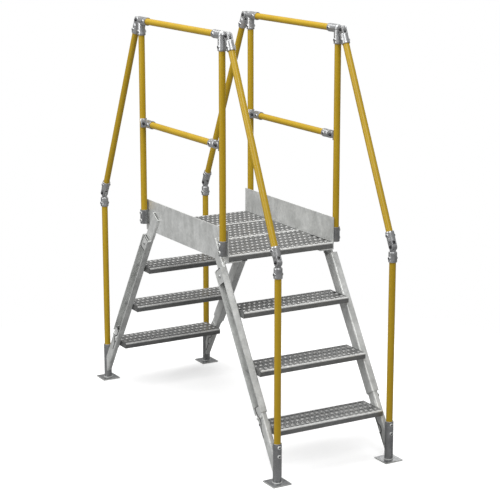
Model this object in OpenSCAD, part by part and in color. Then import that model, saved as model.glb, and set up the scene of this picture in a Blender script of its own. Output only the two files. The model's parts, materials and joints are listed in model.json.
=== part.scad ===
// Crossover ladder: two short stair flights that meet at a raised deck, with pipe guard rails.
// X runs across the steps, Y along the way over, Z up. The origin is on the ground, midway.

/* [Platform] */
// Height of the deck above the ground
platform_h = 1016; // [760:1:1400]
// Length of the deck along the way over
platform_len = 905; // [700:1:1300]
// Clear width between the two side plates
clear_w = 609.6; // [480:0.1:900]
// Planks that make up the deck
plank_count = 3; // [2:1:5]
// Height of a deck plank's folded edge
plank_h = 32; // [26:1:60]
// Gap left between neighbouring planks
plank_gap = 0.6; // [0.3:0.1:3]
// How far the seams between planks lie towards the back from an even split
plank_shift = 34; // [-40:1:40]
// Diameter of the drain holes in a deck plank
drain_d = 14; // [6:1:20]
// Drain holes along each deck plank
drain_count = 4; // [2:1:8]
// Thickness of the side plates
plate_t = 4.8; // [3:0.1:8]
// Height of the side plates above the deck
toe_h = 129; // [90:1:200]
// Width of the ledge under the deck ends
ledge_w = 76; // [40:1:90]
// Thickness of that ledge
ledge_t = 6.4; // [4:0.1:9]

/* [Flights] */
// Risers from the ground to the deck
riser_count = 4; // [3:1:6]
// Horizontal distance from one nosing to the next
going = 161.1; // [130:0.1:230]
// Depth of a tread, front to back
tread_d = 177.8; // [150:0.1:240]
// Height of a tread's folded edge
tread_h = 31; // [22:1:45]
// Thickness of the folded sheet in treads and planks
sheet_t = 3; // [2:0.1:5]
// Outer radius of the folded corners
fold_r = 5; // [4:0.5:9]
// Width of the turned-in lip under a tread or plank
lip_w = 14; // [8:1:25]
// How far the line of nosings starts inside the deck edge
nosing_set = 7.3; // [0:0.1:30]

/* [Stringers] */
// Width of a stringer channel
channel_w = 66; // [56:0.5:100]
// Depth of a stringer's flanges
channel_d = 38.1; // [30:0.1:60]
// Thickness of the channels
channel_t = 4.6; // [3:0.1:7]
// Outer corner radius of the channels
channel_r = 8; // [7:0.5:12]
// How far the stringer's centre line lies outside the treads' centre line
channel_out = 0.5; // [0:0.5:20]
// Length of the upper stub above the stringer's top end
stub_len = 157; // [90:1:200]
// Drop from the deck ledge's underside to the stringer's top corner
top_drop = 19; // [10:1:40]
// Distance along the slope from the lowest nosing up to the stringer's lower end
foot_rise = 111; // [90:1:160]
// How far the stub stands out from the side plate
stub_proud = 14.4; // [10:0.1:25]
// Length of the clip that joins stub and stringer
clip_len = 76; // [50:1:110]
// Diameter of the bolt through the clip
clip_bolt_d = 12; // [8:1:16]
// Length by which the leg laps inside the stringer's lower end
leg_lap = 34; // [25:1:80]
// Clearance between nested channels
nest_gap = 0.3; // [0.2:0.1:1]

/* [Feet] */
// Side of the square base plate
base_w = 101.6; // [80:0.1:160]
// Thickness of the base plate
base_t = 6.4; // [4:0.1:12]
// Height of the foot socket above the ground
foot_h = 203; // [150:1:300]
// Height at which the stringer's centre line meets the foot socket's axis
leg_join_z = 68; // [55:1:100]
// Height of the leg's lower end above the ground
leg_cut_z = 42; // [20:1:60]

/* [Rails] */
// Outside diameter of the rail pipe
pipe_od = 33.4; // [26:0.1:42]
// Wall of the rail pipe
pipe_t = 3.4; // [2:0.1:5]
// Height of the top rail's axis above the deck
rail_h = 1085.8; // [900:0.1:1250]
// Height of the middle rail's axis above the deck
mid_h = 547.7; // [400:0.1:700]
// Height of the knuckles above the ground
knuckle_h = 1092; // [800:1:1300]
// Distance from the deck's end to the platform posts' axes
post_set = 15.2; // [8:0.1:40]

/* [Fittings] */
// Radial wall of the sockets around the pipes
socket_wall = 3.7; // [3:0.1:7]
// Radial clearance between a pipe and its socket
pipe_gap = 0.7; // [0.3:0.1:0.9]
// Distance from a fitting's centre to the mouth of each socket
reach = 76; // [60:1:100]
// Depth of pipe inside a socket
grip = 46; // [30:1:60]
// Distance from a post's axis to the swivel pin of the sloped rail
swivel_out = 50.2; // [44:0.1:70]
// Distance from a post's axis to the swivel pin of the middle rail
mid_pin_out = 41; // [36:1:60]
// Distance from that pin to the mouth of the middle rail's socket
mid_reach = 76; // [60:1:100]
// Thickness of a swivel's tongue
tongue_t = 14; // [8:1:20]
// Thickness of each swivel ear
ear_t = 6; // [4:0.5:10]
// Outer radius of the swivel's round ends
swivel_r = 17; // [12:0.5:20]
// Height of the short sleeve that holds a platform post
sleeve_h = 76; // [50:1:110]

/* [Hidden] */
$fn = 48;
ZINC = [0.72, 0.74, 0.73];
TREAD_GREY = [0.55, 0.56, 0.56];
YELLOW = [0.86, 0.67, 0.16];
CAST = [0.62, 0.64, 0.66];

bite = 0.6;                 // overlap that welds two shapes of one piece together
slit = 0.4;                 // gap drawn between two pieces that meet end to end
play = 0.2;                 // sideways clearance of a piece that is bolted between two others
out = 1;                    // how far a cut runs past the face that it opens
far = 4000;                 // longer than anything that it cuts

riser = platform_h / riser_count;
lean = atan(going / riser);                     // of the flights, from upright
plate_x = clear_w / 2;                          // inner face of a side plate
plate_out = plate_x + plate_t;                  // outer face of a side plate
ledge_z = platform_h - plank_h - ledge_t;       // underside of the deck ledge
web_x = plate_x + play;                         // inner face of a stringer's web
toe_x = web_x + channel_d;                      // toes of a stringer's flanges
nest_x = web_x + channel_t + nest_gap;          // where nested channels start
nest_w = channel_w - 2 * (channel_t + nest_gap);
lip_inset = 4;                                  // from a stringer's toes in to nested outer faces
clip_weld = 12;                                 // run of the clip's tongue inside the stub
clip_bolt_proud = 3.5;
clip_short = 2.2;                               // keeps the clip's toes out of the stringer's corners
lug_w = nest_w - 2 * channel_r;                 // seat of the lowest tread on the leg
lug_l = 60;
socket_bore = pipe_od + 2 * pipe_gap;
socket_od = socket_bore + 2 * socket_wall;
floor_t = 6;                                    // solid bottom of a swivel's socket
ear_lead = 1;                                   // how far an ear's rim stands out past the tongue's
pin_r = 5;
pin_proud = 2.5;

function nose_y(i) = platform_len / 2 - nosing_set + going * i;
function nose_z(i) = platform_h - riser * i;
// Distance from the origin, square to the slope, of a point at y and z
function square_off(y, z) = y * cos(lean) + z * sin(lean);

channel_c = square_off(nose_y(0) - tread_d / 2, nose_z(0)) + channel_out;
// Heights measured along the slope, from the foot of the square through the origin
channel_top = (ledge_z - top_drop - (channel_c + channel_w / 2) * sin(lean)) / cos(lean);
channel_foot = nose_z(riser_count - 1) * cos(lean) - nose_y(riser_count - 1) * sin(lean) + foot_rise;
stub_top = channel_top + stub_len;
clip_z = channel_top + 2;
lug_z = (nose_z(riser_count - 1) - tread_h / 2) * cos(lean)
    - (nose_y(riser_count - 1) - tread_d / 2) * sin(lean);

foot_x = web_x + channel_d / 2;
foot_y = (channel_c - leg_join_z * sin(lean)) / cos(lean);
post_x = plate_out + socket_od / 2 - bite;
post_y = platform_len / 2 - post_set;
rail_z = platform_h + rail_h;
mid_z = platform_h + mid_h;
pin_y = post_y + swivel_out;
rail_lean = atan((foot_y - pin_y) / (rail_z - knuckle_h));
rail_run = norm([foot_y - pin_y, rail_z - knuckle_h]);
post_rise = 2;                                  // from a sleeve's or a socket's bottom to the pipe
saddle_w = 26;
saddle_t = 5;                                   // thickness of a saddle at its middle
saddle_l = 48;

CORNERS = [["front_left", -1, -1], ["front_right", 1, -1], ["back_left", -1, 1], ["back_right", 1, 1]];
SIDES = [["left", -1], ["right", 1]];
ENDS = [["front", -1], ["back", 1]];
TREADS = [for (i = [1 : riser_count - 1]) i];

// Puts what is drawn at the right-hand back corner at any of the four corners
module at_corner(side, end) {
    mirror([side < 0 ? 1 : 0, 0, 0])
        mirror([0, end < 0 ? 1 : 0, 0])
            children();
}

// Local Z runs up the back flight's slope and local Y squarely out of it
module on_slope() {
    rotate([lean, 0, 0]) children();
}

// Local Z runs from the knuckle's pin up the back sloped rail
module on_sloped_rail() {
    translate([foot_x, foot_y, knuckle_h]) rotate([rail_lean, 0, 0]) children();
}

// Rectangle from x = 0 with the two corners at x = 0 rounded
module half_round_rect(w, d, r) {
    translate([r, -w / 2]) square([d - r, w]);
    translate([0, r - w / 2]) square([r + bite, w - 2 * r]);
    for (s = [-1, 1]) translate([r, s * (w / 2 - r)]) circle(r);
}

// Channel section with its web along Y at x = 0 and its flanges towards +X
module channel_2d(w, d, t, r) {
    difference() {
        half_round_rect(w, d, r);
        translate([t, 0]) half_round_rect(w - 2 * t, d, r - t);
    }
}

// Box section with its inner side along Y at x = 0
module box_2d(w, d) {
    difference() {
        rounded_rect(w, d, channel_r);
        translate([channel_t, 0]) rounded_rect(w - 2 * channel_t, d - 2 * channel_t, channel_r - channel_t);
    }
}

// Rectangle from x = 0 to x = d with all four corners rounded
module rounded_rect(w, d, r) {
    translate([r, -w / 2]) square([d - 2 * r, w]);
    translate([0, r - w / 2]) square([d, w - 2 * r]);
    for (x = [r, d - r]) for (s = [-1, 1]) translate([x, s * (w / 2 - r)]) circle(r);
}

// Folded sheet: flat top at y = 0 from x = 0 to x = -depth, edges turned down, lips turned in
module folded_2d(depth, h) {
    inner_r = fold_r - sheet_t;
    difference() {
        translate([-depth / 2, 0]) rotate(-90) half_round_rect(depth, h, fold_r);
        translate([-depth / 2, -sheet_t])
            rotate(-90) half_round_rect(depth - 2 * sheet_t, h - 2 * sheet_t, inner_r);
        translate([-depth + sheet_t + lip_w, -h - out])
            square([depth - 2 * (sheet_t + lip_w), sheet_t + 2 * out]);
    }
}

module along_x(l) {
    translate([-l / 2, 0, 0]) rotate([90, 0, 90]) linear_extrude(l) children();
}

module pipe(l) {
    difference() {
        cylinder(h = l, d = pipe_od);
        translate([0, 0, -out]) cylinder(h = l + 2 * out, d = pipe_od - 2 * pipe_t);
    }
}

// Socket along Z that starts at z0 and opens at z = mouth
module socket(z0, mouth) {
    difference() {
        translate([0, 0, z0]) cylinder(h = mouth - z0, d = socket_od);
        translate([0, 0, mouth - grip - out]) cylinder(h = grip + 2 * out, d = socket_bore);
    }
}

// Round-ended plate, t thick about the plane x = 0, from a pin at the origin down to z = -l
module eye_plate(l, t, r) {
    rotate([0, 90, 0]) cylinder(h = t, r = r, center = true);
    translate([-t / 2, -r, -l]) cube([t, 2 * r, l]);
}

module tongue(l) {
    eye_plate(l, tongue_t, swivel_r - ear_lead);
}

// Two ears outside a tongue, with the pin through them
module fork(l) {
    for (s = [-1, 1]) translate([s * (tongue_t + ear_t - bite) / 2, 0, 0]) eye_plate(l, ear_t, swivel_r);
    rotate([0, 90, 0]) cylinder(h = tongue_t + 2 * (ear_t + pin_proud), r = pin_r, center = true);
}

// Swivelling socket below a pin at the origin, with its mouth reach away
module swivel_socket(mouth) {
    fork(mouth - grip - floor_t / 2);
    rotate([180, 0, 0]) socket(mouth - grip - floor_t, mouth);
}

// Where plank i ends towards the back
function seam_y(i) = platform_len * (i / plank_count - 0.5)
    + (i == 0 || i == plank_count ? 0 : plank_shift - plank_gap / 2);

module deck_plank(i) {
    y1 = seam_y(i);
    depth = y1 - seam_y(i - 1) - (i == 1 ? 0 : plank_gap);
    len = clear_w - 4 * play;
    color(TREAD_GREY)
        difference() {
            translate([0, y1, platform_h]) along_x(len) folded_2d(depth, plank_h);
            for (k = [0 : drain_count - 1])
                translate([len * ((k + 0.5) / drain_count - 0.5), y1 - depth / 2, platform_h - sheet_t - out])
                    cylinder(h = sheet_t + 2 * out, d = drain_d);
        }
}

module side_frame(side) {
    color(ZINC)
        mirror([side < 0 ? 1 : 0, 0, 0]) {
            translate([plate_x, -platform_len / 2, ledge_z])
                cube([plate_t, platform_len, platform_h + toe_h - ledge_z]);
            translate([plate_x - ledge_w, -platform_len / 2, ledge_z])
                cube([ledge_w + bite, platform_len, ledge_t]);
            for (end = [-1, 1]) mirror([0, end < 0 ? 1 : 0, 0]) {
                post_sleeve();
                stub();
            }
        }
}

module post_sleeve() {
    translate([post_x, post_y, platform_h])
        difference() {
            cylinder(h = sleeve_h, d = socket_od);
            translate([0, 0, -out]) cylinder(h = sleeve_h + 2 * out, d = socket_bore);
        }
}

// Shallow channel welded to the side plate, with the clip that enters the stringer
module stub() {
    web_out = plate_out + stub_proud;
    clip_out = toe_x - lip_inset;
    tongue_w = nest_w - 2 * channel_r;
    on_slope() translate([0, channel_c, 0]) {
        translate([web_out, 0, channel_top + slit])
            linear_extrude(stub_top - channel_top - slit)
                mirror([1, 0]) channel_2d(channel_w, stub_proud + bite, channel_t, channel_r);
        translate([web_out - channel_t, -tongue_w / 2, clip_z - clip_len])
            cube([channel_t, tongue_w, clip_len + clip_weld]);
        translate([clip_out, 0, clip_z - clip_len])
            linear_extrude(clip_len)
                mirror([1, 0]) channel_2d(nest_w, clip_out - nest_x - clip_short, channel_t, channel_r);
        translate([nest_x, 0, clip_z - clip_len / 2])
            rotate([0, 90, 0]) cylinder(h = clip_out - nest_x + clip_bolt_proud, d = clip_bolt_d);
    }
}

module stringer(side, end) {
    color(ZINC)
        at_corner(side, end) on_slope()
            translate([web_x, channel_c, channel_foot])
                linear_extrude(channel_top - channel_foot)
                    channel_2d(channel_w, channel_d, channel_t, channel_r);
}

// Box section leg nested in the stringer, welded to the foot socket on its base plate
module leg(side, end) {
    box_d = toe_x - lip_inset - nest_x;
    color(ZINC)
        at_corner(side, end) difference() {
            union() {
                intersection() {
                    on_slope() translate([nest_x, channel_c, -far / 2])
                        linear_extrude(channel_foot + leg_lap + far / 2) box_2d(nest_w, box_d);
                    translate([0, 0, leg_cut_z]) cube([far, foot_y, far]);
                }
                on_slope() translate([web_x - play, channel_c - lug_w / 2, lug_z - lug_l / 2])
                    cube([nest_x - web_x + play + bite, lug_w, lug_l]);
                translate([foot_x, foot_y, 0]) cylinder(h = foot_h, d = socket_od);
                translate([foot_x - base_w / 2, foot_y - base_w / 2, 0]) cube([base_w, base_w, base_t]);
            }
            translate([foot_x, foot_y, leg_cut_z]) cylinder(h = foot_h, d = socket_bore);
        }
}

module tread(end, i) {
    len = clear_w - 2 * play;
    color(TREAD_GREY)
        mirror([0, end < 0 ? 1 : 0, 0]) translate([0, nose_y(i), nose_z(i)]) {
            along_x(len) folded_2d(tread_d, tread_h);
            for (s = [-1, 1])
                translate([s * (len - sheet_t) / 2, 0, 0])
                    along_x(sheet_t) translate([-tread_d / 2, 0])
                        rotate(-90) half_round_rect(tread_d, tread_h, fold_r);
        }
}

module platform_post(side, end) {
    z0 = platform_h + post_rise;
    color(YELLOW)
        at_corner(side, end) translate([post_x, post_y, z0]) pipe(rail_z - reach + grip - z0);
}

module level_rail(side, z, half_len) {
    color(YELLOW)
        translate([side * post_x, half_len, z]) rotate([90, 0, 0]) pipe(2 * half_len);
}

module top_rail(side) {
    level_rail(side, rail_z, post_y - reach + grip);
}

module mid_rail(side) {
    level_rail(side, mid_z, post_y - mid_pin_out - mid_reach + grip);
}

// Swivel sockets of one middle rail, with the saddles that seat on the posts
module mid_sockets(side) {
    seat_r = pipe_od / 2 + slit;
    color(CAST)
        for (end = [-1, 1]) at_corner(side, end) translate([post_x, post_y, mid_z])
            difference() {
                union() {
                    translate([0, -mid_pin_out, 0]) {
                        rotate([-90, 0, 0]) swivel_socket(mid_reach);
                        rotate([90, 0, 0]) tongue(mid_pin_out - pipe_od / 4);
                    }
                    translate([-saddle_w / 2, -seat_r - saddle_t, -saddle_l / 2])
                        cube([saddle_w, seat_r / 2 + saddle_t, saddle_l]);
                }
                translate([0, 0, -far / 2]) cylinder(h = far, r = seat_r);
            }
}

// Corner casting: level and upright sockets, and a swivel socket for the sloped rail
module corner_fitting(side, end) {
    color(CAST)
        at_corner(side, end) {
            difference() {
                translate([post_x, post_y, rail_z]) {
                    sphere(d = socket_od + 1);
                    rotate([180, 0, 0]) cylinder(h = reach, d = socket_od);
                    rotate([90, 0, 0]) cylinder(h = reach, d = socket_od);
                }
                translate([post_x, post_y, rail_z - reach - out]) cylinder(h = grip + 2 * out, d = socket_bore);
                translate([post_x, post_y - reach + grip + out, rail_z])
                    rotate([90, 0, 0]) cylinder(h = grip + 2 * out, d = socket_bore);
            }
            translate([foot_x, pin_y, rail_z]) {
                rotate([-90, 0, 0]) tongue(swivel_out - socket_od / 2 + floor_t);
                rotate([rail_lean, 0, 0]) swivel_socket(reach);
            }
        }
}

module sloped_rail(side, end) {
    color(YELLOW)
        at_corner(side, end) on_sloped_rail()
            translate([0, 0, reach - grip]) pipe(rail_run - 2 * (reach - grip));
}

// Clamped swivel between the lower post and the sloped rail
module knuckle(side, end) {
    color(CAST)
        at_corner(side, end) {
            on_sloped_rail() rotate([180, 0, 0]) swivel_socket(reach);
            translate([foot_x, foot_y, knuckle_h]) {
                tongue(reach - grip - floor_t / 2);
                rotate([180, 0, 0]) socket(reach - grip - floor_t, reach);
            }
        }
}

module lower_post(side, end) {
    z0 = leg_cut_z + post_rise;
    color(YELLOW)
        at_corner(side, end) translate([foot_x, foot_y, z0]) pipe(knuckle_h - reach + grip - z0);
}

for (i = [1 : plank_count]) deck_plank(i);
for (s = SIDES) {
    side_frame(s[1]);
    top_rail(s[1]);
    mid_rail(s[1]);
    mid_sockets(s[1]);
}
for (e = ENDS) for (i = TREADS)
    tread(e[1], i);
for (c = CORNERS) {
    stringer(c[1], c[2]);
    leg(c[1], c[2]);
    platform_post(c[1], c[2]);
    corner_fitting(c[1], c[2]);
    sloped_rail(c[1], c[2]);
    knuckle(c[1], c[2]);
    lower_post(c[1], c[2]);
}
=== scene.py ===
import json
import math

import bmesh
import bpy
import numpy as np
from mathutils import Matrix, Vector


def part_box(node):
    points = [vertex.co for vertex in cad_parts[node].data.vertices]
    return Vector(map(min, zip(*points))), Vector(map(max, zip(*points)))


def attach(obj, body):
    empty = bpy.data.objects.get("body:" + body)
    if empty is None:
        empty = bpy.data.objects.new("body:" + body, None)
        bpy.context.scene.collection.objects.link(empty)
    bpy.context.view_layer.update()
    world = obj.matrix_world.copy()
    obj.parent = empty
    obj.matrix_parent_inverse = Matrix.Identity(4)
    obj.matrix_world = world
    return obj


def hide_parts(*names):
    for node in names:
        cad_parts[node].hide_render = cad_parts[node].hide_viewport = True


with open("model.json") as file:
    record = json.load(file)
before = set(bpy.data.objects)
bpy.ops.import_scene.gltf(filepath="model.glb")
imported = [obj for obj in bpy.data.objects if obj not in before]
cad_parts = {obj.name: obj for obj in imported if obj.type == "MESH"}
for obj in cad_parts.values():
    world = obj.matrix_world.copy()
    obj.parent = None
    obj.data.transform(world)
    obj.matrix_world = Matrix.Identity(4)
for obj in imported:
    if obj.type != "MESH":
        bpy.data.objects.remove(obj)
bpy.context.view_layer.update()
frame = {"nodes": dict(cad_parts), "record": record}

SUBPARTS = {s["node"]: s["material_slot"] for s in frame["record"]["subparts"]}
CORNERS = [("front_left", -1, -1), ("front_right", 1, -1), ("back_left", -1, 1), ("back_right", 1, 1)]


def corner_box(node):
    lo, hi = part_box(node)
    return Vector(lo), Vector(hi)


def middle(node):
    lo, hi = corner_box(node)
    return (lo + hi) / 2


# Places, read from the frame. Everything is drawn for the right-hand back corner and mirrored.
POST = middle("platform_post_back_right")
FOOT = middle("lower_post_back_right")
RAIL_Z = middle("top_rail_right").z
MID_Z = middle("mid_rail_right").z
PIPE_R = (corner_box("top_rail_right")[1].x - corner_box("top_rail_right")[0].x) / 2
DECK_LO, DECK_HI = corner_box("side_frame_right")
DECK_Z = corner_box("deck_plank_1")[1].z
DECK_END = DECK_HI.y
SOCKET_R = PIPE_R + 0.0044
PLATE_OUT = POST.x - SOCKET_R + 0.0006
PLATE_IN = PLATE_OUT - 0.0048
KNUCKLE_Z = 1.092
REACH = 0.076
PIN_Y = POST.y + 0.0502
FOOT_SOCKET_TOP = 0.203
SLEEVE_TOP = DECK_Z + 0.076
RISER = DECK_Z / 4
NOSE0 = Vector((0, corner_box("tread_back_1")[1].y, corner_box("tread_back_1")[1].z))
NOSE1 = Vector((0, corner_box("tread_back_2")[1].y, corner_box("tread_back_2")[1].z))
LEAN = math.atan2(NOSE1.y - NOSE0.y, NOSE0.z - NOSE1.z)
TREAD_D = corner_box("tread_back_1")[1].y - corner_box("tread_back_1")[0].y
TREAD_H = corner_box("tread_back_1")[1].z - corner_box("tread_back_1")[0].z
TREAD_L = corner_box("tread_back_1")[1].x * 2
PITCH = 0.0285


# ---------------------------------------------------------------- materials
def new_material(name):
    m = bpy.data.materials.new(name)
    m.use_nodes = True
    nt = m.node_tree
    nt.nodes.clear()
    out = nt.nodes.new("ShaderNodeOutputMaterial")
    bsdf = nt.nodes.new("ShaderNodeBsdfPrincipled")
    nt.links.new(bsdf.outputs[0], out.inputs[0])
    return m, nt, bsdf


def add(nt, kind, **values):
    n = nt.nodes.new(kind)
    for k, v in values.items():
        if hasattr(n, k):
            setattr(n, k, v)
        else:
            n.inputs[k.replace("_", " ")].default_value = v
    return n


def ramp(nt, source, stops):
    r = nt.nodes.new("ShaderNodeValToRGB")
    while len(r.color_ramp.elements) < len(stops):
        r.color_ramp.elements.new(0.5)
    for e, (p, c) in zip(r.color_ramp.elements, stops):
        e.position = p
        e.color = (c[0], c[1], c[2], 1) if isinstance(c, (tuple, list)) else (c, c, c, 1)
    nt.links.new(source, r.inputs[0])
    return r


def multiply(nt, a, b, factor=1.0):
    m = nt.nodes.new("ShaderNodeMix")
    m.data_type = "RGBA"
    m.blend_type = "MULTIPLY"
    m.inputs[0].default_value = factor
    nt.links.new(a, m.inputs[6])
    nt.links.new(b, m.inputs[7])
    return m.outputs[2]


def position(nt, scale=(1, 1, 1)):
    g = nt.nodes.new("ShaderNodeNewGeometry")
    m = nt.nodes.new("ShaderNodeMapping")
    m.inputs["Scale"].default_value = scale
    nt.links.new(g.outputs["Position"], m.inputs["Vector"])
    return m.outputs[0]


def noise(nt, vec, scale, detail=3.0, rough=0.55):
    n = nt.nodes.new("ShaderNodeTexNoise")
    n.inputs["Scale"].default_value = scale
    n.inputs["Detail"].default_value = detail
    n.inputs["Roughness"].default_value = rough
    nt.links.new(vec, n.inputs["Vector"])
    return n.outputs[0]


def bump(nt, height, strength, distance, before=None):
    b = nt.nodes.new("ShaderNodeBump")
    b.inputs["Strength"].default_value = strength
    b.inputs["Distance"].default_value = distance
    nt.links.new(height, b.inputs["Height"])
    if before is not None:
        nt.links.new(before, b.inputs["Normal"])
    return b.outputs[0]


def zinc(name, light, dark, metallic, rough, streak=(6, 6, 1.2)):
    """Hot-dip zinc: spangle cells, soft runs and fine grain."""
    m, nt, b = new_material(name)
    p = position(nt)
    cells = add(nt, "ShaderNodeTexVoronoi", feature="F1", Scale=95.0, Randomness=1.0)
    nt.links.new(p, cells.inputs["Vector"])
    grey = nt.nodes.new("ShaderNodeSeparateColor")
    nt.links.new(cells.outputs["Color"], grey.inputs[0])
    spangle = ramp(nt, grey.outputs[0], [(0.0, 0.88), (1.0, 1.0)])
    runs = ramp(nt, noise(nt, position(nt, streak), 5.0, 4.0), [(0.32, dark), (0.68, light)])
    blot = ramp(nt, noise(nt, p, 38.0, 4.0, 0.65), [(0.3, 0.9), (0.62, 1.0)])
    c = multiply(nt, runs.outputs[0], spangle.outputs[0])
    c = multiply(nt, c, blot.outputs[0])
    nt.links.new(c, b.inputs["Base Color"])
    b.inputs["Metallic"].default_value = metallic
    r = ramp(nt, noise(nt, p, 60.0), [(0.3, rough - 0.07), (0.7, rough + 0.09)])
    nt.links.new(r.outputs[0], b.inputs["Roughness"])
    n1 = bump(nt, noise(nt, p, 55.0, 3.0), 0.25, 0.0012)
    n2 = bump(nt, noise(nt, p, 600.0, 2.0), 0.12, 0.0004, n1)
    nt.links.new(n2, b.inputs["Normal"])
    return m


def paint(name, light, dark, rough):
    """Powder coat: orange-peel skin, faint dust and scuffs."""
    m, nt, b = new_material(name)
    p = position(nt)
    tone = ramp(nt, noise(nt, position(nt, (1, 1, 0.35)), 9.0, 4.0), [(0.3, dark), (0.7, light)])
    dust = ramp(nt, noise(nt, p, 60.0, 4.0, 0.6), [(0.25, 0.94), (0.5, 1.0)])
    nt.links.new(multiply(nt, tone.outputs[0], dust.outputs[0]), b.inputs["Base Color"])
    r = ramp(nt, noise(nt, p, 45.0), [(0.3, rough - 0.06), (0.7, rough + 0.08)])
    nt.links.new(r.outputs[0], b.inputs["Roughness"])
    b.inputs["Specular IOR Level"].default_value = 0.35
    n1 = bump(nt, noise(nt, p, 900.0, 2.0), 0.10, 0.0002)
    nt.links.new(n1, b.inputs["Normal"])
    return m


def dark_steel(name):
    m, nt, b = new_material(name)
    p = position(nt)
    tone = ramp(nt, noise(nt, p, 300.0, 3.0), [(0.3, (0.018, 0.018, 0.02)), (0.7, (0.06, 0.06, 0.064))])
    nt.links.new(tone.outputs[0], b.inputs["Base Color"])
    b.inputs["Metallic"].default_value = 0.5
    r = ramp(nt, noise(nt, p, 200.0), [(0.3, 0.3), (0.7, 0.5)])
    nt.links.new(r.outputs[0], b.inputs["Roughness"])
    nt.links.new(bump(nt, noise(nt, p, 700.0), 0.15, 0.0003), b.inputs["Normal"])
    return m


MATS = {
    "bright_zinc": zinc("bright_zinc", (0.78, 0.79, 0.775), (0.56, 0.57, 0.555), 0.32, 0.38, (3.5, 3.5, 2.0)),
    "tread_zinc": zinc("tread_zinc", (0.22, 0.22, 0.215), (0.15, 0.155, 0.155), 0.45, 0.42, (2, 4, 4)),
    "yellow_coat": paint("yellow_coat", (0.47, 0.305, 0.014), (0.42, 0.27, 0.011), 0.34),
    "cast_metal": zinc("cast_metal", (0.56, 0.565, 0.57), (0.40, 0.405, 0.41), 0.75, 0.30, (3, 3, 3)),
}
MATS["bolt_zinc"] = zinc("bolt_zinc", (0.62, 0.625, 0.62), (0.45, 0.455, 0.45), 0.6, 0.33, (9, 9, 9))
# painted highlight: a light copy of zinc for the rounded noses of treads and planks, where light glints on the fold
MATS["painted_highlight_zinc"] = zinc("painted_highlight_zinc", (0.86, 0.865, 0.85), (0.74, 0.745, 0.73), 0.25, 0.34, (9, 2, 2))
# painted shade: a dark copy of zinc for the faces of treads and planks turned to the front and down, and the walls and
# undersides of the holes
MATS["painted_shade_zinc"] = zinc("painted_shade_zinc", (0.23, 0.23, 0.225), (0.17, 0.175, 0.175), 0.35, 0.42, (2, 4, 4))
# painted highlight: a lighter copy of zinc for the raised faces of the tread bumps, where light catches them
MATS["painted_highlight_bump_zinc"] = zinc("painted_highlight_bump_zinc", (0.52, 0.52, 0.51), (0.40, 0.40, 0.395), 0.45, 0.36, (4, 4, 4))
# zinc of the tube skins, also used as painted shade on the base plate
MATS["tube_zinc_and_painted_base_shade"] = zinc("tube_zinc_and_painted_base_shade", (0.40, 0.405, 0.41), (0.26, 0.265, 0.27), 0.75, 0.30, (7, 7, 2))
# black steel of the screws and bolts, also used for painted shadow lines and the painted shade of a hole
MATS["black_steel_and_painted_shadow"] = dark_steel("black_steel_and_painted_shadow")


# ---------------------------------------------------------------- mesh tools
def finish_piece(name, bm, material, smooth=True, nodes=()):
    bmesh.ops.recalc_face_normals(bm, faces=bm.faces)
    me = bpy.data.meshes.new(name)
    bm.to_mesh(me)
    bm.free()
    o = bpy.data.objects.new(name, me)
    bpy.context.scene.collection.objects.link(o)
    for m in (material if isinstance(material, (list, tuple)) else [material]):
        me.materials.append(MATS[m])
    if smooth:
        me.polygons.foreach_set("use_smooth", [True] * len(me.polygons))
        me.set_sharp_from_angle(angle=math.radians(35))
    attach(o, "root")
    if nodes:
        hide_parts(*nodes)
    return o


def corner_matrix(side, end):
    return Matrix.Diagonal((side, end, 1, 1))


def lathe(bm, profile, matrix, steps=40, closed=False, mat=0):
    """Turns (radius, height) points about local Z."""
    rings = []
    for r, z in profile:
        if r < 1e-7:
            rings.append([bm.verts.new(matrix @ Vector((0, 0, z)))])
        else:
            rings.append([bm.verts.new(matrix @ Vector((r * math.cos(a), r * math.sin(a), z)))
                          for a in (2 * math.pi * k / steps for k in range(steps))])
    pairs = list(zip(rings, rings[1:])) + ([(rings[-1], rings[0])] if closed else [])
    for a, b in pairs:
        for k in range(steps):
            j = (k + 1) % steps
            if len(a) == 1 and len(b) == 1:
                continue
            if len(a) == 1:
                f = bm.faces.new((a[0], b[k], b[j]))
            elif len(b) == 1:
                f = bm.faces.new((a[k], a[j], b[0]))
            else:
                f = bm.faces.new((a[k], a[j], b[j], b[k]))
            f.material_index = mat


def look(origin, direction, up=(0, 0, 1)):
    """Matrix whose local Z runs along direction from origin."""
    z = Vector(direction).normalized()
    x = Vector(up).cross(z)
    if x.length < 1e-5:
        x = Vector((1, 0, 0))
    x.normalize()
    y = z.cross(x)
    m = Matrix((x, y, z)).transposed().to_4x4()
    m.translation = Vector(origin)
    return m


def hex_bolt(bm, origin, direction, across=0.016, height=0.0065, washer=0.0115, mat=0, turn=0.0):
    """Chamfered hexagon head on a washer, standing on a surface."""
    m = look(origin, direction)
    if washer:
        lathe(bm, [(0, 0), (washer, 0), (washer, 0.0013), (washer - 0.0005, 0.0018), (0, 0.0018)], m, 24, mat=mat)
    base = 0.0018 if washer else 0.0
    r = across / 2 / math.cos(math.pi / 6)
    rings = []
    for rr, z in ((r, base), (r, base + height - 0.0013), (r * 0.86, base + height)):
        rings.append([bm.verts.new(m @ Vector((rr * math.cos(a), rr * math.sin(a), z)))
                      for a in (turn + math.pi / 3 * k for k in range(6))])
    for a, b in zip(rings, rings[1:]):
        for k in range(6):
            j = (k + 1) % 6
            bm.faces.new((a[k], a[j], b[j], b[k])).material_index = mat
    bm.faces.new(rings[-1]).material_index = mat
    bm.faces.new(rings[0][::-1]).material_index = mat


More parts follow.
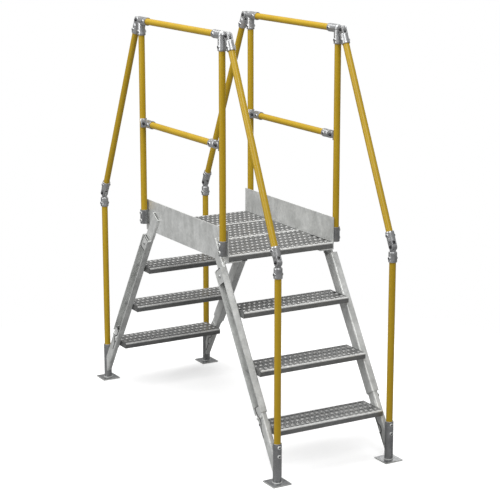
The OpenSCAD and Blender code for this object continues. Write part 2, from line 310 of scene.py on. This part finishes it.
def set_screw(bm, origin, direction, boss_r=0.0085, boss_h=0.0035, boss_mat=0, screw_mat=1):
    """Raised boss with a recessed socket screw in it."""
    m = look(origin, direction)
    lathe(bm, [(boss_r + 0.002, -0.003), (boss_r + 0.0012, 0), (boss_r, boss_h - 0.0008), (boss_r - 0.0009, boss_h),
               (0.0052, boss_h), (0.0049, boss_h - 0.0009), (0.0049, boss_h - 0.002)], m, 24, mat=boss_mat)
    lathe(bm, [(0.0049, boss_h - 0.0022), (0.0046, boss_h - 0.0005), (0.0042, boss_h - 0.0002), (0.0024, boss_h - 0.0002),
               (0.0022, boss_h - 0.003), (0, boss_h - 0.003)], m, 12, mat=screw_mat)


def round_bolt(bm, origin, direction, r=0.008, h=0.006, mat=0):
    m = look(origin, direction)
    prof = [(0, -0.001), (r, -0.001), (r, 0.001)]
    for k in range(1, 7):
        a = math.pi / 2 * k / 6
        prof.append((r * math.cos(a), 0.001 + (h - 0.001) * math.sin(a)))
    lathe(bm, prof, m, 28, mat=mat)


def bead(bm, points, radius, mat=0, closed=False, seed=1, steps=8):
    """Weld bead: a ridged, slightly uneven cord along points. Drawn black, it is a painted shadow line."""
    pts = [Vector(p) for p in points]
    dense = []
    n = len(pts)
    for k in range(n if closed else n - 1):
        a, b = pts[k], pts[(k + 1) % n]
        m = max(1, int((b - a).length / 0.0022))
        dense += [a.lerp(b, t / m) for t in range(m)]
    if not closed:
        dense.append(pts[-1])
    rings = []
    total = len(dense)
    for k, p in enumerate(dense):
        q0 = dense[k - 1] if (k or closed) else p
        q1 = dense[(k + 1) % total] if (k < total - 1 or closed) else p
        d = (q1 - q0)
        m = look(p, d if d.length > 1e-9 else Vector((0, 0, 1)), (0.31, 0.27, 0.91))
        r = radius * (1 + 0.10 * math.sin(k * 2.1 + seed) + 0.06 * math.sin(k * 0.71 + 2 * seed))
        rings.append([bm.verts.new(m @ Vector((r * math.cos(2 * math.pi * i / steps),
                                               r * math.sin(2 * math.pi * i / steps), 0))) for i in range(steps)])
    span = total if closed else total - 1
    for k in range(span):
        a, b = rings[k], rings[(k + 1) % total]
        for i in range(steps):
            j = (i + 1) % steps
            bm.faces.new((a[i], a[j], b[j], b[i])).material_index = mat
    if not closed:
        bm.faces.new(rings[0][::-1]).material_index = mat
        bm.faces.new(rings[-1]).material_index = mat


def circle_points(centre, radius, axis_u, axis_v, n=48, a0=0.0, a1=2 * math.pi):
    c, u, v = Vector(centre), Vector(axis_u), Vector(axis_v)
    return [c + u * (radius * math.cos(a0 + (a1 - a0) * k / n)) + v * (radius * math.sin(a0 + (a1 - a0) * k / n))
            for k in range(n)]


def mirrored(bm, side, end):
    """Moves a mesh drawn at the right-hand back corner to another corner."""
    bmesh.ops.transform(bm, matrix=corner_matrix(side, end), verts=bm.verts)


# ---------------------------------------------------------------- perforated sheet
def rect_points(x0, x1, y0, y1):
    pts = []
    for k in range(4):
        pts.append((x1, y0 + (y1 - y0) * k / 4))
    for k in range(4):
        pts.append((x1 - (x1 - x0) * k / 4, y1))
    for k in range(4):
        pts.append((x0, y1 - (y1 - y0) * k / 4))
    for k in range(4):
        pts.append((x0 + (x1 - x0) * k / 4, y0))
    return pts


def cell(bm, x0, x1, y0, y1, rings, t, z0):
    """One rectangular cell with a shaped hole in it: rings are (radius, height) from the outside in."""
    cx, cy = (x0 + x1) / 2, (y0 + y1) / 2
    flat = rect_points(x0, x1, y0, y1)
    angles = [math.atan2(y - cy, x - cx) for x, y in flat]
    loops = [[bm.verts.new((x, y, z0)) for x, y in flat]]
    for r, z in rings:
        loops.append([bm.verts.new((cx + r * math.cos(a), cy + r * math.sin(a), z0 + z)) for a in angles])
    for r, z in reversed(rings):
        loops.append([bm.verts.new((cx + max(r - 0.0, 0.001) * math.cos(a), cy + r * math.sin(a), z0 + z - t))
                      for a in angles])
    loops.append([bm.verts.new((x, y, z0 - t)) for x, y in flat])
    n = len(flat)
    raised = rings[-1][1] > 0
    for step, (a, b) in enumerate(zip(loops, loops[1:])):
        for k in range(n):
            j = (k + 1) % n
            f = bm.faces.new((a[k], a[j], b[j], b[k]))
            # the raised faces of a bump take the painted highlight
            if raised and 1 <= step < len(rings):
                f.material_index = 3
            # the walls and the underside take the painted shade
            elif step >= len(rings):
                f.material_index = 2


def flat_strip(bm, x0, x1, y0, y1, t, z0):
    for z in (z0, z0 - t):
        bm.faces.new([bm.verts.new(p) for p in ((x0, y0, z), (x1, y0, z), (x1, y1, z), (x0, y1, z))])


BUMP = [(0.0088, 0.0), (0.0074, 0.0011), (0.0056, 0.0026), (0.0043, 0.0027), (0.0034, 0.0019)]
HOLE = [(0.0094, 0.0), (0.0084, -0.0006), (0.0076, -0.0020)]
TOOTH = [(0.0062, 0.0), (0.0052, 0.0012), (0.0040, 0.0017), (0.0032, 0.0010)]


def perforated(bm, length, y_nose, depth, direction, z0, t, edge):
    """Rows of holes from the nose back. direction is the sign of Y from the nose inwards."""
    tooth_h = 0.0150
    row_h = (depth - 2 * edge - tooth_h) / round((depth - 2 * edge - tooth_h) / 0.0266)
    rows = round((depth - 2 * edge - tooth_h) / row_h)
    cols = int((length - 0.006) / PITCH)
    starts = []
    y = edge
    starts.append((y, y + tooth_h, TOOTH, False))
    y += tooth_h
    for k in range(rows):
        starts.append((y, y + row_h, BUMP if k % 2 == 0 else HOLE, k % 2 == 1))
        y += row_h
    for a, b, rings, shifted in starts:
        ya, yb = sorted((y_nose + direction * a, y_nose + direction * b))
        n = cols - 1 if shifted else cols
        x0 = -n * PITCH / 2
        for c in range(n):
            cell(bm, x0 + c * PITCH, x0 + (c + 1) * PITCH, ya, yb, rings, t, z0)
        flat_strip(bm, -length / 2, x0, ya, yb, t, z0)
        flat_strip(bm, -x0, length / 2, ya, yb, t, z0)


def fold(bm, length, y_edge, direction, z0, h, t, r, lip, edge, mat=0, painted_highlight_mat=None):
    """The turned-down edge: swept section from the flat top round the fold, down, and the lip turned in."""
    outer = [(edge, 0.0)]
    for k in range(7):
        a = math.pi / 2 * k / 6
        outer.append((r - r * math.sin(a), -(r - r * math.cos(a))))
    outer.append((0, -r - 0.0022))
    for k in range(7):
        a = math.pi / 2 * k / 6
        outer.append((r - r * math.cos(a), -h + (r - r * math.sin(a))))
    outer.append((lip, -h))
    ri = r - t
    inner = [(lip, -h + t)]
    for k in range(7):
        a = math.pi / 2 * (6 - k) / 6
        inner.append((r - ri * math.cos(a), -h + (r - ri * math.sin(a))))
    inner.append((t, -r - 0.0022))
    for k in range(7):
        a = math.pi / 2 * (6 - k) / 6
        inner.append((r - ri * math.sin(a), -(r - ri * math.cos(a))))
    inner.append((edge, -t))
    section = outer + inner
    ends = []
    xs = [-length / 2, length / 2]
    for x in xs:
        ends.append([bm.verts.new((x, y_edge + direction * d, z0 + z)) for d, z in section])
    n = len(section)
    # painted highlight on the rounded nose and 2.2 mm of the face below it; painted shade (index 2) on the rest of the
    # face, the lip and the inside
    for k in range(n - 1):
        f = bm.faces.new((ends[0][k], ends[0][k + 1], ends[1][k + 1], ends[1][k]))
        f.material_index = painted_highlight_mat if k <= 7 else 2
    half = len(outer)
    for e in ends:
        for k in range(half - 1):
            q = (e[k], e[k + 1], e[n - 2 - k], e[n - 1 - k])
            bm.faces.new(q).material_index = mat


def end_plate(bm, x, y0, y1, z0, h, t, r):
    """Closing plate at a tread's end."""
    pts = []
    for cx, cy, a0 in ((y1 - r, z0 - r, 0), (y0 + r, z0 - r, 90), (y0 + r, z0 - h + r, 180), (y1 - r, z0 - h + r, 270)):
        for k in range(5):
            a = math.radians(a0 + 90 * k / 4)
            pts.append((cx + r * math.cos(a), cy + r * math.sin(a)))
    a = [bm.verts.new((x, p, q)) for p, q in pts]
    b = [bm.verts.new((x + t, p, q)) for p, q in pts]
    bm.faces.new(a)
    bm.faces.new(b[::-1])
    for k in range(len(pts)):
        j = (k + 1) % len(pts)
        bm.faces.new((a[k], a[j], b[j], b[k]))


SHEET = 0.003
for end, sign in (("front", -1), ("back", 1)):
    for i in (1, 2, 3):
        name = f"tread_{end}_{i}"
        lo, hi = corner_box(name)
        length = hi.x - lo.x
        y_nose = hi.y if sign > 0 else lo.y
        y_back = lo.y if sign > 0 else hi.y
        bm = bmesh.new()
        perforated(bm, length, y_nose, TREAD_D, -sign, hi.z, SHEET, 0.0075)
        fold(bm, length, y_nose, -sign, hi.z, TREAD_H, SHEET, 0.005, 0.017, 0.0075, 0, 1)
        fold(bm, length, y_back, sign, hi.z, TREAD_H, SHEET, 0.005, 0.017, 0.0075, 0, 1)
        for x in (lo.x, hi.x - SHEET):
            end_plate(bm, x, lo.y + 0.0002, hi.y - 0.0002, hi.z - 0.0002, TREAD_H, SHEET, 0.005)
        bmesh.ops.remove_doubles(bm, verts=bm.verts, dist=0.00002)
        finish_piece(f"{name}_perforated", bm, ["tread_zinc", "painted_highlight_zinc", "painted_shade_zinc", "painted_highlight_bump_zinc"], nodes=[name])

for i in (1, 2, 3):
    name = f"deck_plank_{i}"
    lo, hi = corner_box(name)
    bm = bmesh.new()
    length, depth, h = hi.x - lo.x, hi.y - lo.y, hi.z - lo.z
    perforated(bm, length, lo.y, depth, 1, hi.z, SHEET, 0.0075)
    fold(bm, length, lo.y, 1, hi.z, h, SHEET, 0.005, 0.017, 0.0075, 0, 1)
    fold(bm, length, hi.y, -1, hi.z, h, SHEET, 0.005, 0.017, 0.0075, 0, 1)
    bmesh.ops.remove_doubles(bm, verts=bm.verts, dist=0.00002)
    finish_piece(f"{name}_perforated", bm, ["tread_zinc", "painted_highlight_zinc", "painted_shade_zinc", "painted_highlight_bump_zinc"], nodes=[name])


# ---------------------------------------------------------------- cast fittings
def socket_profile(mouth, start, r=None, rim=0.0008):
    """Cast socket with a rolled rim at its mouth, bored out at the end."""
    r = r or SOCKET_R
    bore = PIPE_R + 0.0006
    return [(0, start), (r * 0.86, start), (r * 0.97, start + 0.0025), (r, start + 0.006), (r, mouth - 0.0135),
            (r + rim * 0.5, mouth - 0.0115), (r + rim, mouth - 0.0095), (r + rim, mouth - 0.0022),
            (r + rim * 0.4, mouth - 0.0004), (r - 0.0004, mouth), (bore + 0.0009, mouth), (bore, mouth - 0.001),
            (bore, mouth - 0.03), (0, mouth - 0.03)]


def eye(bm, m, length, t, r, mat=0, x_mid=0.0, edge=0.0011):
    """Round-ended plate with eased rims. Local X is its thickness, its body runs down local -Z."""
    outline = []
    n = 20
    for k in range(n + 1):
        a = math.pi * k / n
        outline.append((r * math.cos(a), r * math.sin(a)))
    outline += [(-r, -length), (r, -length)]
    layers = []
    for x, inset in ((-t / 2, edge), (-t / 2 + edge * 0.3, edge * 0.3), (-t / 2 + edge, 0), (t / 2 - edge, 0),
                     (t / 2 - edge * 0.3, edge * 0.3), (t / 2, edge)):
        s = (r - inset) / r
        layers.append([bm.verts.new(m @ Vector((x_mid + x, y * s, z * s if z > 0 else z))) for y, z in outline])
    count = len(outline)
    for a, b in zip(layers, layers[1:]):
        for k in range(count):
            j = (k + 1) % count
            bm.faces.new((a[k], a[j], b[j], b[k])).material_index = mat
    bm.faces.new(layers[0][::-1]).material_index = mat
    bm.faces.new(layers[-1]).material_index = mat


EYE_R = 0.0185
TONGUE_T = 0.014
EAR_T = 0.006


def swivel_joint(bm, m_fork, fork_len, m_tongue, tongue_len):
    """Tongue between two ears, with a dark bolt head on one side and a nut on the other."""
    eye(bm, m_tongue, tongue_len, TONGUE_T, EYE_R - 0.001)
    for s in (-1, 1):
        eye(bm, m_fork, fork_len, EAR_T, EYE_R, x_mid=s * (TONGUE_T + EAR_T + 0.0006) / 2)
    c = m_fork.translation
    off = TONGUE_T / 2 + EAR_T + 0.0003
    hex_bolt(bm, c + Vector((off, 0, 0)), (1, 0, 0), 0.013, 0.0055, 0.0085, mat=1, turn=0.3)
    hex_bolt(bm, c - Vector((off, 0, 0)), (-1, 0, 0), 0.013, 0.0055, 0.0085, mat=1, turn=0.1)


def web_fillet(bm, m, width, x_half, z_from, z_to, r):
    """Shoulder that blends a fork or tongue into the round end of a socket."""
    prof = [(0, z_from), (r * 0.55, z_from), (r * 0.80, z_from + (z_to - z_from) * 0.35), (r * 0.95, z_to), (0, z_to)]
    lathe(bm, prof, m, 32)


def tilt(angle):
    return Matrix.Rotation(angle, 4, "X")


rail_dir = Vector((0, FOOT.y - PIN_Y, KNUCKLE_Z - RAIL_Z)).normalized()
rail_lean = math.atan2(FOOT.y - PIN_Y, RAIL_Z - KNUCKLE_Z)

for name, side, end in CORNERS:
    # corner casting
    bm = bmesh.new()
    c = Vector((POST.x, POST.y, RAIL_Z))
    down, inward = look(c, (0, 0, -1), (0, 1, 0)), look(c, (0, -1, 0))
    lathe(bm, socket_profile(REACH, 0.0), down, 44)
    lathe(bm, socket_profile(REACH, 0.0, rim=0.0004), inward, 44)
    ball = [(0, -SOCKET_R - 0.0004)] + [((SOCKET_R + 0.0004) * math.sin(math.pi * k / 22), -(SOCKET_R + 0.0004) * math.cos(math.pi * k / 22))
                                        for k in range(1, 22)] + [(0, SOCKET_R + 0.0004)]
    lathe(bm, ball, Matrix.Translation(c), 44)
    pin = Vector((FOOT.x, PIN_Y, RAIL_Z))
    tongue_m = Matrix.Translation(pin) @ tilt(math.pi * -0.5)
    fork_m = Matrix.Translation(pin) @ tilt(rail_lean)
    swivel_joint(bm, fork_m, REACH - 0.046 - 0.001, tongue_m, 0.0502 - SOCKET_R + 0.004)
    lathe(bm, socket_profile(REACH, REACH - 0.046 - 0.006), look(pin, rail_dir), 44)
    for s in (-1, 1):
        set_screw(bm, c + Vector((s * SOCKET_R * 0.985, 0, -REACH + 0.019)), (s, 0, 0))
        set_screw(bm, c + Vector((s * SOCKET_R * 0.985, -REACH + 0.019, 0)), (s, 0, 0))
        set_screw(bm, pin + rail_dir * (REACH - 0.019) + Vector((s * SOCKET_R * 0.985, 0, 0)), (s, 0, 0))
    mirrored(bm, side, end)
    finish_piece(f"corner_casting_{name}", bm, ["cast_metal", "black_steel_and_painted_shadow"],
                 nodes=[f"corner_fitting_{name}"])

    # knuckle
    bm = bmesh.new()
    pin = Vector((FOOT.x, FOOT.y, KNUCKLE_Z))
    fork_m = Matrix.Translation(pin) @ tilt(rail_lean) @ Matrix.Rotation(math.pi, 4, "X")
    swivel_joint(bm, fork_m, REACH - 0.046 - 0.001, Matrix.Translation(pin), REACH - 0.046 - 0.001)
    lathe(bm, socket_profile(REACH, REACH - 0.052), look(pin, -rail_dir), 44)
    lathe(bm, socket_profile(REACH, REACH - 0.052), look(pin, (0, 0, -1), (0, 1, 0)), 44)
    for s in (-1, 1):
        set_screw(bm, pin - rail_dir * (REACH - 0.019) + Vector((s * SOCKET_R * 0.985, 0, 0)), (s, 0, 0))
        set_screw(bm, pin + Vector((s * SOCKET_R * 0.985, 0, -REACH + 0.019)), (s, 0, 0))
    mirrored(bm, side, end)
    finish_piece(f"knuckle_casting_{name}", bm, ["cast_metal", "black_steel_and_painted_shadow"], nodes=[f"knuckle_{name}"])

for label, side in (("left", -1), ("right", 1)):
    bm = bmesh.new()
    for end in (-1, 1):
        part = bmesh.new()
        pin = Vector((POST.x, POST.y - 0.041, MID_Z))
        swivel_joint(part, Matrix.Translation(pin) @ tilt(math.pi * -0.5), 0.029,
                     Matrix.Translation(pin) @ tilt(math.pi * 0.5), 0.041 - PIPE_R - 0.0008)
        lathe(part, socket_profile(REACH, REACH - 0.052), look(pin, (0, -1, 0)), 44)
        # saddle: part of a ring around the post
        seat, shell = PIPE_R + 0.0004, PIPE_R + 0.0052
        arc = [math.radians(a) for a in range(-152, -27, 4)]
        prev = None
        for a in arc:
            ring = [part.verts.new((POST.x + r * math.cos(a), POST.y + r * math.sin(a), MID_Z + z))
                    for r, z in ((seat, -0.024), (shell - 0.001, -0.024), (shell, -0.022), (shell, 0.022),
                                 (shell - 0.001, 0.024), (seat, 0.024))]
            if prev:
                for k in range(6):
                    j = (k + 1) % 6
                    part.faces.new((prev[k], prev[j], ring[j], ring[k]))
            else:
                part.faces.new(ring)
            prev = ring
        part.faces.new(prev[::-1])
        for s in (-1, 1):
            set_screw(part, pin + Vector((s * SOCKET_R * 0.985, -REACH + 0.019, 0)), (s, 0, 0))
        mirrored(part, side, end)
        tmp = bpy.data.meshes.new("tmp")
        part.to_mesh(tmp)
        part.free()
        bm.from_mesh(tmp)
        bpy.data.meshes.remove(tmp)
    finish_piece(f"mid_castings_{label}", bm, ["cast_metal", "black_steel_and_painted_shadow"], nodes=[f"mid_sockets_{label}"])


# ---------------------------------------------------------------- CAD nodes that show as they are
for node, obj in frame["nodes"].items():
    obj.data.materials.clear()
    obj.data.materials.append(MATS[SUBPARTS[node]])

# ---------------------------------------------------------------- bolts, screws and welds
lo, hi = corner_box("stringer_back_right")
WEB_IN = lo.x
TOE = hi.x
WEB_T = 0.0046


def on_slope(x, off, s):
    """Point at x, a distance off square to the back flight's slope and s along it."""
    return Vector((x, off * math.cos(LEAN) - s * math.sin(LEAN), off * math.sin(LEAN) + s * math.cos(LEAN)))


def slope_of(p):
    return p.y * math.cos(LEAN) + p.z * math.sin(LEAN), p.z * math.cos(LEAN) - p.y * math.sin(LEAN)


# The stringer's ends, from the box of the sloped channel
corners_yz = [v.co for v in frame["nodes"]["stringer_back_right"].data.vertices]
offs = [slope_of(v)[0] for v in corners_yz]
runs = [slope_of(v)[1] for v in corners_yz]
OFF0, OFF1, RUN0, RUN1 = min(offs), max(offs), min(runs), max(runs)
OFFC = (OFF0 + OFF1) / 2

for name, side, end in CORNERS:
    # tread bolts: heads inside the channel, two at each tread
    bm = bmesh.new()
    for i in (1, 2):
        tlo, thi = corner_box(f"tread_back_{i}")
        z = thi.z - 0.016
        for dy in (-0.017, 0.017):
            y = OFFC / math.cos(LEAN) - z * math.tan(LEAN) + dy
            hex_bolt(bm, (WEB_IN + WEB_T, y, z), (1, 0, 0), 0.017, 0.0075, 0.012, turn=0.2 + dy * 9)
    mirrored(bm, side, end)
    finish_piece(f"tread_bolts_{name}", bm, ["bolt_zinc"])

    # clip bolt, dome-headed
    bm = bmesh.new()
    s_bolt = RUN1 + 0.002 - 0.038
    round_bolt(bm, on_slope(TOE - 0.004, OFFC, s_bolt), (1, 0, 0), 0.0105, 0.0075)
    mirrored(bm, side, end)
    finish_piece(f"clip_bolt_{name}", bm, ["bolt_zinc"])

    # leg seam, its lap bolts, vent hole and welds; the black cords are painted shadow lines, and the black disc is the
    # painted shade of the vent hole
    bm = bmesh.new()
    clip_low = RUN1 + 0.002 - 0.076
    # painted shadow lines: black cords across the channel where the clip and the stringer end
    for s_line in (clip_low - 0.0012, RUN1 + 0.0002):
        bead(bm, [on_slope(TOE - 0.0045, OFFC + d, s_line) for d in (-0.024, 0.0, 0.024)], 0.0021, mat=1, seed=6)
    bead(bm, [on_slope(TOE - 0.0045, OFFC + d, RUN0 + 0.0352) for d in (-0.022, 0.0, 0.022)], 0.0018, mat=1, seed=7)
    leg_out = TOE - 0.004
    rear = OFF0 + 0.0052
    line = [(0.010, -0.190), (0.011, -0.215), (0.015, -0.232), (0.027, -0.246), (0.031, -0.258), (0.026, -0.274),
            (0.014, -0.290), (0.011, -0.305), (0.011, -0.34)]
    s_shift = 0.055
    # painted shadow line along the leg seam on both faces, and a black disc as the painted shade of the vent hole
    for x, rise in ((leg_out, 1), (WEB_IN + WEB_T + 0.0003, -1)):
        bead(bm, [on_slope(x, rear + a, RUN0 + (s + 0.17) + s_shift - (0.0 if rise > 0 else 0.15)) for a, s in line], 0.0024,
             mat=1, seed=3)
        lathe(bm, [(0, 0.0004), (0.0048, 0.0004), (0.0052, 0.0)],
              look(on_slope(x, rear + 0.009, RUN0 - 0.05 - (0.0 if rise > 0 else 0.155)), (rise, 0, 0)), 20, mat=1)
    for s in (RUN0 - 0.02,):
        for a in (-0.016, 0.016):
            hex_bolt(bm, on_slope(leg_out, OFFC + a, s), (1, 0, 0), 0.013, 0.005, 0.0095)
    weld = circle_points((FOOT.x, FOOT.y, 0.0066), SOCKET_R + 0.0006, (1, 0, 0), (0, 1, 0), 60)
    bead(bm, weld, 0.0028, closed=True, seed=5)
    set_screw(bm, (FOOT.x, FOOT.y + SOCKET_R * 0.985, FOOT_SOCKET_TOP - 0.017), (0, 1, 0), screw_mat=1)
    set_screw(bm, (FOOT.x, FOOT.y + SOCKET_R * 0.985, FOOT_SOCKET_TOP - 0.062), (0, 1, 0), screw_mat=1)
    mirrored(bm, side, end)
    finish_piece(f"foot_details_{name}", bm, ["bright_zinc", "black_steel_and_painted_shadow"])

    # side plate: sleeve welds, sleeve screws, stub welds
    bm = bmesh.new()
    for dz in (0.0015, 0.0745):
        arc = circle_points((POST.x, POST.y, DECK_Z + dz), SOCKET_R - 0.0002, (1, 0, 0), (0, 1, 0), 2)
    for s in (-1, 1):
        y = POST.y + s * 0.0068
        if y < DECK_END:
            bead(bm, [(PLATE_OUT + 0.001, y + s * 0.001, DECK_Z + 0.004 + k * 0.004) for k in range(18)], 0.0022, seed=2 + s)
    set_screw(bm, (POST.x + SOCKET_R * 0.985, POST.y, SLEEVE_TOP - 0.017), (1, 0, 0), screw_mat=1)
    set_screw(bm, (POST.x + SOCKET_R * 0.985, POST.y, SLEEVE_TOP - 0.058), (1, 0, 0), screw_mat=1)
    stub_top = RUN1 + 0.157
    web = PLATE_OUT
    for off in (OFF0 - 0.0012, OFF1 + 0.0012):
        pts = [on_slope(web + 0.0006, off, RUN1 + 0.02 + k * (stub_top - RUN1 - 0.022) / 40) for k in range(41)]
        pts = [p for p in pts if p.y < DECK_END - 0.002 and p.z > DECK_LO.z + 0.002]
        if len(pts) > 2:
            bead(bm, pts, 0.0024, seed=4)
    mirrored(bm, side, end)
    finish_piece(f"side_welds_{name}", bm, ["bright_zinc", "black_steel_and_painted_shadow"])

    # bright-drawn tube skins of the post sleeve and the foot socket, and a thin darker plate over the base plate, which
    # is painted shade
    bm = bmesh.new()
    skin, bore = SOCKET_R + 0.00025, PIPE_R + 0.0006
    for c, z0, z1 in (((POST.x, POST.y, 0), DECK_Z - 0.0003, SLEEVE_TOP), ((FOOT.x, FOOT.y, 0), 0.0065, FOOT_SOCKET_TOP)):
        lathe(bm, [(bore, z0), (skin - 0.0006, z0), (skin, z0 + 0.0006), (skin, z1 - 0.0012), (skin - 0.0008, z1 - 0.0001),
                   (skin - 0.0012, z1 + 0.0002), (bore + 0.0008, z1 + 0.0002), (bore, z1 - 0.0008), (bore, z1 - 0.03)],
              Matrix.Translation(c), 48)
    # painted shade: a thin darker plate laid over the top of the base plate
    half, low, top = 0.0507, 0.0003, 0.0066
    levels = []
    for inset, z in ((0.0008, low), (0.0, low + 0.0008), (0.0, top - 0.001), (0.001, top)):
        h, r = half - inset, 0.004
        ring = []
        for qx, qy, a0 in ((1, 1, 0), (-1, 1, 90), (-1, -1, 180), (1, -1, 270)):
            for k in range(5):
                a = math.radians(a0 + 90 * k / 4)
                ring.append(bm.verts.new((FOOT.x + qx * (h - r) + r * math.cos(a), FOOT.y + qy * (h - r) + r * math.sin(a), z)))
        levels.append(ring)
    for u, v in zip(levels, levels[1:]):
        for k in range(20):
            j = (k + 1) % 20
            bm.faces.new((u[k], u[j], v[j], v[k]))
    bm.faces.new(levels[0][::-1])
    bm.faces.new(levels[-1])
    mirrored(bm, side, end)
    finish_piece(f"tube_skins_and_painted_base_shade_{name}", bm, ["tube_zinc_and_painted_base_shade"])

# ---------------------------------------------------------------- floor, light, camera
bpy.ops.mesh.primitive_plane_add(size=60, location=(0, 0, -0.0005))
floor = bpy.context.object
floor.name = "floor"
m = bpy.data.materials.new("floor")
m.use_nodes = True
nt = m.node_tree
nt.nodes.clear()
fo = nt.nodes.new("ShaderNodeOutputMaterial")
diff = nt.nodes.new("ShaderNodeBsdfDiffuse")
diff.inputs[0].default_value = (0.80, 0.80, 0.80, 1)
glow = nt.nodes.new("ShaderNodeEmission")
glow.inputs[1].default_value = 0.42
both = nt.nodes.new("ShaderNodeAddShader")
nt.links.new(diff.outputs[0], both.inputs[0])
nt.links.new(glow.outputs[0], both.inputs[1])
clear = nt.nodes.new("ShaderNodeBsdfTransparent")
geo = nt.nodes.new("ShaderNodeNewGeometry")
dist = nt.nodes.new("ShaderNodeVectorMath")
dist.operation = "LENGTH"
nt.links.new(geo.outputs["Position"], dist.inputs[0])
fade = nt.nodes.new("ShaderNodeMapRange")
fade.inputs["From Min"].default_value = 1.25
fade.inputs["From Max"].default_value = 2.3
nt.links.new(dist.outputs["Value"], fade.inputs["Value"])
near = nt.nodes.new("ShaderNodeMixShader")
nt.links.new(fade.outputs[0], near.inputs[0])
nt.links.new(both.outputs[0], near.inputs[1])
nt.links.new(clear.outputs[0], near.inputs[2])
path = nt.nodes.new("ShaderNodeLightPath")
pick = nt.nodes.new("ShaderNodeMixShader")
nt.links.new(path.outputs["Is Camera Ray"], pick.inputs[0])
bounce = nt.nodes.new("ShaderNodeBsdfDiffuse")
bounce.inputs[0].default_value = (0.30, 0.30, 0.30, 1)
nt.links.new(bounce.outputs[0], pick.inputs[1])
nt.links.new(near.outputs[0], pick.inputs[2])
nt.links.new(pick.outputs[0], fo.inputs[0])
floor.data.materials.append(m)

world = bpy.data.worlds.new("studio")
bpy.context.scene.world = world
world.use_nodes = True
nt = world.node_tree
nt.nodes.clear()
wo = nt.nodes.new("ShaderNodeOutputWorld")
plain = add(nt, "ShaderNodeBackground", Color=(1, 1, 1, 1), Strength=0.40)
seen = add(nt, "ShaderNodeBackground", Color=(1, 1, 1, 1), Strength=1.0)
lp = nt.nodes.new("ShaderNodeLightPath")
mx = nt.nodes.new("ShaderNodeMixShader")
nt.links.new(lp.outputs["Is Camera Ray"], mx.inputs[0])
nt.links.new(plain.outputs[0], mx.inputs[1])
nt.links.new(seen.outputs[0], mx.inputs[2])
nt.links.new(mx.outputs[0], wo.inputs[0])


def area(name, place, aim, size, power):
    d = bpy.data.lights.new(name, "AREA")
    d.shape = "RECTANGLE"
    d.size, d.size_y = size
    d.energy = power
    o = bpy.data.objects.new(name, d)
    bpy.context.scene.collection.objects.link(o)
    o.location = place
    o.rotation_euler = (Vector(aim) - Vector(place)).to_track_quat("-Z", "Y").to_euler()
    return o


area("top", (-0.6, 0.4, 5.2), (0, 0, 0.8), (4.5, 4.5), 210)
area("left", (-5.2, 0.4, 3.0), (0, 0, 1.0), (3.0, 3.5), 120)
area("front", (-1.6, -5.2, 5.6), (0, 0, 0.8), (2.6, 2.6), 175)
area("right", (4.2, 3.0, 2.6), (0, 0, 1.0), (2.5, 3.0), 40)

cam_data = bpy.data.cameras.new("camera")
cam_data.lens = 115.83
cam_data.sensor_width = 36
cam = bpy.data.objects.new("camera", cam_data)
bpy.context.scene.collection.objects.link(cam)
cam.location = (-4.0556, -7.1967, 2.8691)
cam.rotation_euler = Vector((0.48449, 0.84405, -0.22989)).to_track_quat("-Z", "Y").to_euler()
bpy.context.scene.camera = cam
bpy.context.scene.view_settings.view_transform = "Standard"
